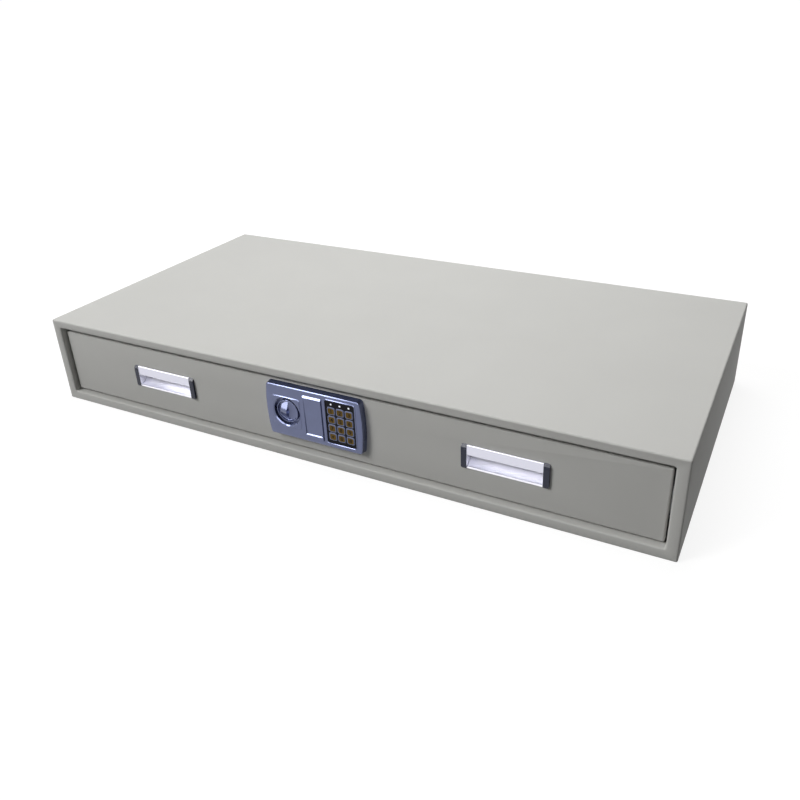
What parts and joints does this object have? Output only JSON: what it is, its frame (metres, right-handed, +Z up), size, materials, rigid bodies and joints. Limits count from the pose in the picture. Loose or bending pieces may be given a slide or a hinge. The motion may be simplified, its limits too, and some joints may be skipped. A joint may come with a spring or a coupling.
{
  "type": "under-bed drawer safe",
  "caption": "Flat steel cabinet with one lockable drawer on ball slides, recessed grips, a turning knob, a keypad and a covered emergency lock.",
  "frame": {"origin": "centre of the cabinet's underside, on the surface the safe stands on", "axes": "+X to the right seen from the front, +Y from the drawer front to the back, +Z up"},
  "size_m": [1.05, 0.5246, 0.15],
  "materials": {
    "powder_coat": "fine textured powder coat",
    "zinc_steel": "zinc plated",
    "bright_steel": "polished",
    "handle_aluminium": "brushed and clear anodised",
    "cap_plastic": "satin",
    "panel_plastic": "satin painted",
    "keypad_black": "gloss",
    "key_plastic": "satin",
    "lamp_plastic": "clear",
    "mat_rubber": "matte",
    "board_green": "solder mask",
    "lock_brass": "turned",
    "coil_black": "taped",
    "battery_jacket": "shrink sleeve",
    "case_plastic": "moulded",
    "reset_red": "gloss"
  },
  "bodies": {
    "cabinet": {"cabinet_shell": "powder_coat", "cabinet_back": "powder_coat", "bolt_keeper": "zinc_steel", "slide_bracket_left": "zinc_steel", "slide_bracket_right": "zinc_steel", "slide_outer_left": "zinc_steel", "slide_outer_right": "zinc_steel"},
    "slide_middles": {"slide_middle_left": "zinc_steel", "slide_middle_right": "zinc_steel"},
    "drawer": {"drawer_front": "powder_coat", "drawer_tray": "powder_coat", "slide_inner_left": "zinc_steel", "slide_inner_right": "zinc_steel", "handle_flap_left": "handle_aluminium", "handle_trough_left": "handle_aluminium", "handle_flap_right": "handle_aluminium", "handle_trough_right": "handle_aluminium", "handle_left_cap_left": "cap_plastic", "handle_left_cap_right": "cap_plastic", "handle_right_cap_left": "cap_plastic", "handle_right_cap_right": "cap_plastic", "lock_panel": "panel_plastic", "keypad_plate": "keypad_black", "contact_mat": "mat_rubber", "circuit_board": "board_green", "lamp_left": "lamp_plastic", "lamp_middle": "lamp_plastic", "lamp_right": "lamp_plastic", "solenoid_body": "coil_black", "key_cylinder": "lock_brass", "lock_cover": "powder_coat", "battery_case": "case_plastic", "battery_1": "battery_jacket", "battery_2": "battery_jacket", "battery_3": "battery_jacket", "battery_4": "battery_jacket"},
    "knob_and_crank": {"knob": "panel_plastic", "knob_spindle": "zinc_steel", "knob_crank": "zinc_steel"},
    "bolt_work": {"bolt_carriage": "zinc_steel", "bolt_left": "bright_steel", "bolt_right": "bright_steel"},
    "plunger": {"solenoid_plunger": "bright_steel"},
    "key_plug_and_cam": {"key_plug": "lock_brass", "key_cam": "zinc_steel"},
    "cover": {"emergency_cover": "panel_plastic"},
    "lid": {"battery_lid": "case_plastic"},
    "reset": {"reset_button": "reset_red"},
    "key_1": {"key_1": "key_plastic"},
    "key_2": {"key_2": "key_plastic"},
    "key_3": {"key_3": "key_plastic"},
    "key_4": {"key_4": "key_plastic"},
    "key_5": {"key_5": "key_plastic"},
    "key_6": {"key_6": "key_plastic"},
    "key_7": {"key_7": "key_plastic"},
    "key_8": {"key_8": "key_plastic"},
    "key_9": {"key_9": "key_plastic"},
    "key_clear": {"key_clear": "key_plastic"},
    "key_0": {"key_0": "key_plastic"},
    "key_enter": {"key_enter": "key_plastic"}
  },
  "joints": [
    {"name": "drawer_slide", "type": "slide", "parent": "cabinet", "child": "drawer", "axis": [0, -1, 0], "range_m": [0, 0.43]},
    {"name": "slide_middle_run", "type": "slide", "parent": "cabinet", "child": "slide_middles", "axis": [0, -1, 0], "range_m": [0, 0.215]},
    {"name": "knob_turn", "type": "hinge", "parent": "drawer", "child": "knob_and_crank", "pos_m": [-0.0465, -0.252, 0.0827], "axis": [0, -1, 0], "range_deg": [0, 90]},
    {"name": "bolt_throw", "type": "slide", "parent": "drawer", "child": "bolt_work", "axis": [0, 0, 1], "range_m": [0, 0.01414]},
    {"name": "plunger_pull", "type": "slide", "parent": "drawer", "child": "plunger", "axis": [1, 0, 0], "range_m": [0, 0.0035], "stiffness_N_per_m": 80},
    {"name": "emergency_key_turn", "type": "hinge", "parent": "drawer", "child": "key_plug_and_cam", "pos_m": [0.0007, -0.252, 0.0823], "axis": [0, -1, 0], "range_deg": [0, 90]},
    {"name": "emergency_cover_pull", "type": "slide", "parent": "drawer", "child": "cover", "axis": [0, -1, 0], "range_m": [0, 0.02]},
    {"name": "battery_lid_pull", "type": "slide", "parent": "drawer", "child": "lid", "axis": [0, 1, 0], "range_m": [0, 0.02]},
    {"name": "reset_press", "type": "slide", "parent": "drawer", "child": "reset", "axis": [0, -1, 0], "range_m": [0, 0.0015], "stiffness_N_per_m": 250},
    {"name": "key_1_press", "type": "slide", "parent": "drawer", "child": "key_1", "axis": [0, 1, 0], "range_m": [0, 0.001], "stiffness_N_per_m": 300},
    {"name": "key_2_press", "type": "slide", "parent": "drawer", "child": "key_2", "axis": [0, 1, 0], "range_m": [0, 0.001], "stiffness_N_per_m": 300},
    {"name": "key_3_press", "type": "slide", "parent": "drawer", "child": "key_3", "axis": [0, 1, 0], "range_m": [0, 0.001], "stiffness_N_per_m": 300},
    {"name": "key_4_press", "type": "slide", "parent": "drawer", "child": "key_4", "axis": [0, 1, 0], "range_m": [0, 0.001], "stiffness_N_per_m": 300},
    {"name": "key_5_press", "type": "slide", "parent": "drawer", "child": "key_5", "axis": [0, 1, 0], "range_m": [0, 0.001], "stiffness_N_per_m": 300},
    {"name": "key_6_press", "type": "slide", "parent": "drawer", "child": "key_6", "axis": [0, 1, 0], "range_m": [0, 0.001], "stiffness_N_per_m": 300},
    {"name": "key_7_press", "type": "slide", "parent": "drawer", "child": "key_7", "axis": [0, 1, 0], "range_m": [0, 0.001], "stiffness_N_per_m": 300},
    {"name": "key_8_press", "type": "slide", "parent": "drawer", "child": "key_8", "axis": [0, 1, 0], "range_m": [0, 0.001], "stiffness_N_per_m": 300},
    {"name": "key_9_press", "type": "slide", "parent": "drawer", "child": "key_9", "axis": [0, 1, 0], "range_m": [0, 0.001], "stiffness_N_per_m": 300},
    {"name": "key_clear_press", "type": "slide", "parent": "drawer", "child": "key_clear", "axis": [0, 1, 0], "range_m": [0, 0.001], "stiffness_N_per_m": 300},
    {"name": "key_0_press", "type": "slide", "parent": "drawer", "child": "key_0", "axis": [0, 1, 0], "range_m": [0, 0.001], "stiffness_N_per_m": 300},
    {"name": "key_enter_press", "type": "slide", "parent": "drawer", "child": "key_enter", "axis": [0, 1, 0], "range_m": [0, 0.001], "stiffness_N_per_m": 300}
  ],
  "couplings": [
    {"joint": "slide_middle_run", "follows": "drawer_slide", "ratio": 0.5},
    {"joint": "knob_turn", "follows": "bolt_throw", "rad_per_m": 111.07}
  ]
}
